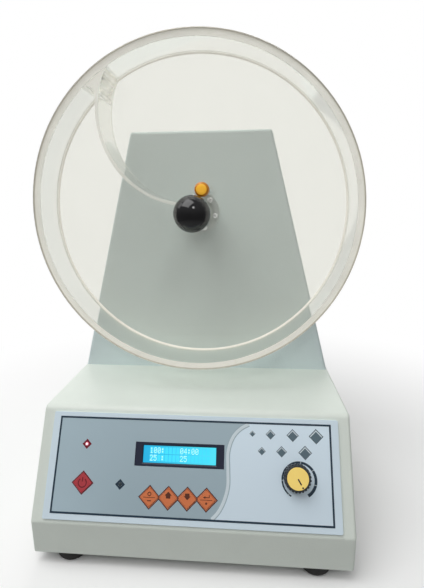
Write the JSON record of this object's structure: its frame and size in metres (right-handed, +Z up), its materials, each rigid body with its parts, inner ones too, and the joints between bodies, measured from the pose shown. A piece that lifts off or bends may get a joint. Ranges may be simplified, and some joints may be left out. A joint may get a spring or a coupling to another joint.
{
  "type": "tablet friability tester",
  "caption": "Bench tester that tumbles tablets in a clear drum with a curved lifting arm, turned by a gear motor in a tapered column above a sloped console.",
  "frame": {"origin": "on the bench, under the middle of the instrument's box", "axes": "+Z up; -Y faces the person at the console; +X to that person's right; the drum turns about Y"},
  "size_m": [0.3, 0.284, 0.452],
  "materials": {
    "console_paint": "off-white powder coat with a fine texture",
    "column_paint": "pale grey-green powder coat",
    "panel_print": "printed plate, satin film",
    "display_black": "black, satin",
    "display_blue": "backlit display glass",
    "board_green": "circuit board",
    "key_orange": "orange, satin",
    "key_red": "dark red, satin",
    "lamp_red": "lit red lamp",
    "lamp_dark": "unlit dark lamp",
    "black_plastic": "black moulded plastic",
    "knob_yellow": "yellow, satin",
    "cap_amber": "amber yellow, gloss",
    "ball_black": "black phenolic, polished",
    "clear_acrylic": "clear acrylic, polished, slightly hazy",
    "steel": "turned steel",
    "motor_steel": "dark grey enamel",
    "zinc": "zinc plated",
    "aluminium": "machined",
    "brass": "turned",
    "rubber": "black rubber"
  },
  "bodies": {
    "stand": {"base_cover": "console_paint", "base_tray": "console_paint", "base_back_panel": "console_paint", "column_cover": "column_paint", "column_back_panel": "column_paint", "panel_screws": "zinc", "cover_screws": "zinc", "foot_screws": "zinc", "front_panel": "panel_print", "display_frame": "display_black", "display_glass": "display_blue", "display_board": "board_green", "control_board": "board_green", "power_board": "board_green", "power_lamp": "lamp_red", "ready_lamp": "lamp_dark", "speed_control": "black_plastic", "control_nut": "zinc", "mains_inlet": "black_plastic", "switch_frame": "black_plastic", "bearing_housing": "aluminium", "motor_pillars": "steel", "motor_plate": "steel", "motor_screws": "zinc", "gearbox": "aluminium", "gear_motor": "motor_steel", "foot_front_left": "rubber", "foot_front_right": "rubber", "foot_back_left": "rubber", "foot_back_right": "rubber", "front_bearing_outer_ring": "steel", "rear_bearing_outer_ring": "steel"},
    "drum": {"drive_shaft": "steel", "shaft_coupling": "aluminium", "output_shaft": "steel", "front_bearing_inner_ring": "steel", "rear_bearing_inner_ring": "steel", "hub_flange": "aluminium", "hub_screws": "zinc", "drum_back": "clear_acrylic", "drum_ring": "clear_acrylic", "hub_ring": "clear_acrylic", "drum_arm": "clear_acrylic"},
    "lid": {"drum_lid": "clear_acrylic", "locating_peg": "steel", "peg_cap": "cap_amber", "knob_washer": "black_plastic"},
    "ball_knob": {"ball_knob": "ball_black", "knob_insert": "brass"},
    "speed_knob": {"speed_knob": "black_plastic", "speed_knob_cap": "knob_yellow", "control_shaft": "steel"},
    "power_key": {"power_key": "key_red"},
    "set_key": {"set_key": "key_orange"},
    "up_key": {"up_key": "key_orange"},
    "down_key": {"down_key": "key_orange"},
    "enter_key": {"enter_key": "key_orange"},
    "rocker": {"rocker": "black_plastic"},
    "fuse_drawer": {"fuse_drawer": "black_plastic"}
  },
  "joints": [
    {"name": "drum_spin", "type": "hinge", "parent": "stand", "child": "drum", "pos_m": [0, 0, 0.302], "axis": [0, 1, 0], "continuous": true},
    {"name": "lid_slide", "type": "slide", "parent": "drum", "child": "lid", "axis": [0, -1, 0], "range_m": [0, 0.07]},
    {"name": "ball_knob_turn", "type": "hinge", "parent": "lid", "child": "ball_knob", "pos_m": [0, 0, 0.302], "axis": [0, -1, 0], "range_deg": [0, 2970]},
    {"name": "speed_knob_turn", "type": "hinge", "parent": "stand", "child": "speed_knob", "pos_m": [0.0909, -0.12059, 0.08276], "axis": [0, -0.8829, 0.4695], "range_deg": [-10, 270]},
    {"name": "rocker_tilt", "type": "hinge", "parent": "stand", "child": "rocker", "pos_m": [-0.028, 0.135, 0.066], "axis": [-1, 0, 0], "range_deg": [0, 20]},
    {"name": "fuse_drawer_slide", "type": "slide", "parent": "stand", "child": "fuse_drawer", "axis": [0, 1, 0], "range_m": [0, 0.015]},
    {"name": "power_key_press", "type": "slide", "parent": "stand", "child": "power_key", "axis": [0, 0.8829, -0.4695], "range_m": [0, 0.0005], "stiffness_N_per_m": 600, "springref_m": -0.0005},
    {"name": "set_key_press", "type": "slide", "parent": "stand", "child": "set_key", "axis": [0, 0.8829, -0.4695], "range_m": [0, 0.0005], "stiffness_N_per_m": 600, "springref_m": -0.0005},
    {"name": "up_key_press", "type": "slide", "parent": "stand", "child": "up_key", "axis": [0, 0.8829, -0.4695], "range_m": [0, 0.0005], "stiffness_N_per_m": 600, "springref_m": -0.0005},
    {"name": "down_key_press", "type": "slide", "parent": "stand", "child": "down_key", "axis": [0, 0.8829, -0.4695], "range_m": [0, 0.0005], "stiffness_N_per_m": 600, "springref_m": -0.0005},
    {"name": "enter_key_press", "type": "slide", "parent": "stand", "child": "enter_key", "axis": [0, 0.8829, -0.4695], "range_m": [0, 0.0005], "stiffness_N_per_m": 600, "springref_m": -0.0005}
  ]
}
